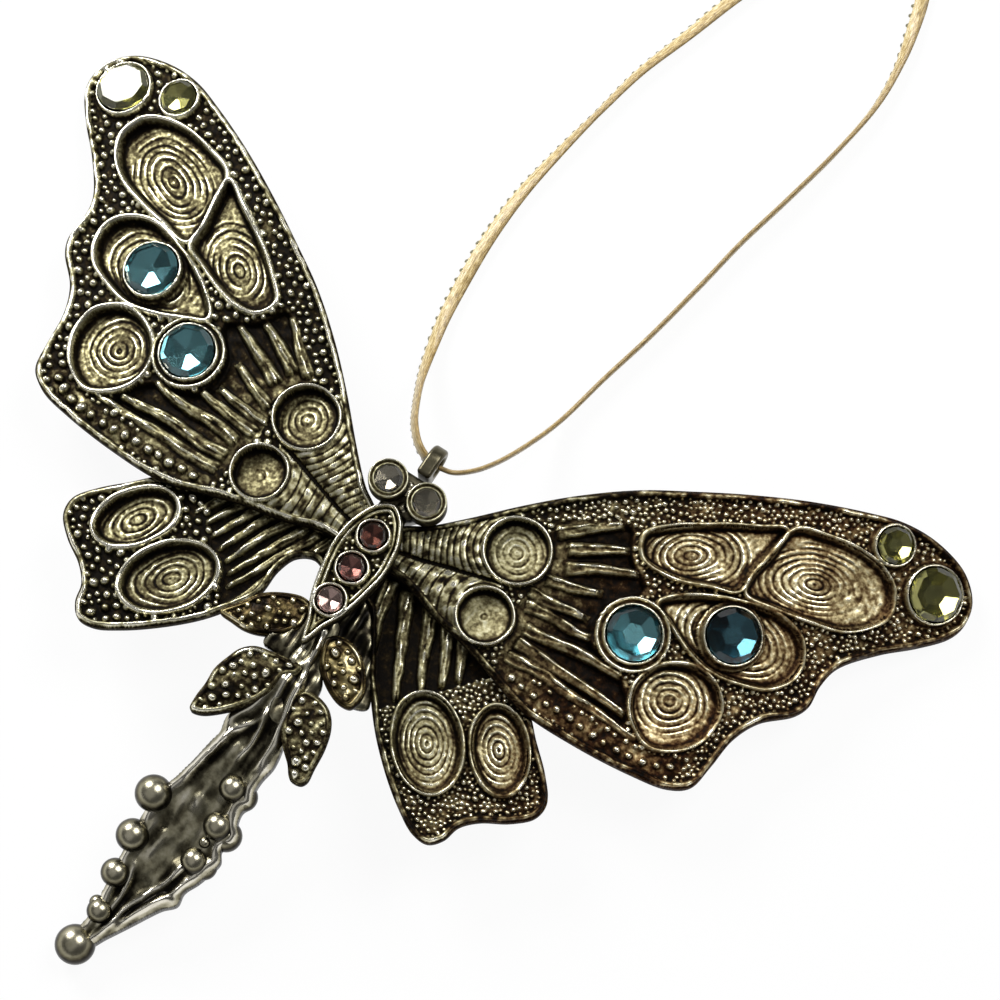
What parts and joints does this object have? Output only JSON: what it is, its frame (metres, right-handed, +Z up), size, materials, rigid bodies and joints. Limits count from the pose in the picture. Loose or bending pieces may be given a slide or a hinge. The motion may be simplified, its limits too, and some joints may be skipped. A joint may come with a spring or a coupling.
{
  "type": "dragonfly ornament",
  "caption": "Hanging dragonfly ornament in antiqued gold-tone relief metal, with drooping wings, set stones, a leaf spray, a beaded tail and a flat satin braid loop.",
  "frame": {"origin": "under the middle of the metalwork, on the surface that it lies on", "axes": "+X to the right wing, +Y to the head, +Z up through the front of the ornament"},
  "size_m": [0.1392, 0.1921, 0.0181],
  "materials": {
    "antique_gold": "antiqued gold-tone plating, dark in the recesses and bright on the crests",
    "antique_pewter": "antiqued grey-gold plating, polished smooth",
    "aqua_glass": "cut glass with a foil back",
    "green_glass": "cut glass with a foil back",
    "clear_glass": "cut glass with a foil back",
    "pink_glass": "cut glass with a foil back",
    "satin_braid": "flat woven satin braid"
  },
  "bodies": {
    "root": {"body_casting": "antique_pewter", "hanging_bail": "antique_pewter", "fore_wing_left": "antique_gold", "fore_wing_right": "antique_gold", "hind_wing_left": "antique_gold", "hind_wing_right": "antique_gold", "aqua_stone_outer_left": "aqua_glass", "aqua_stone_outer_right": "aqua_glass", "aqua_stone_inner_left": "aqua_glass", "aqua_stone_inner_right": "aqua_glass", "green_stone_large_left": "green_glass", "green_stone_large_right": "green_glass", "green_stone_small_left": "green_glass", "green_stone_small_right": "green_glass", "eye_stone_left": "clear_glass", "eye_stone_right": "clear_glass", "pink_stone_upper": "pink_glass", "pink_stone_middle": "pink_glass", "pink_stone_lower": "pink_glass", "cord_left": "satin_braid", "cord_right": "satin_braid", "cord_knot": "satin_braid"}
  },
  "joints": []
}
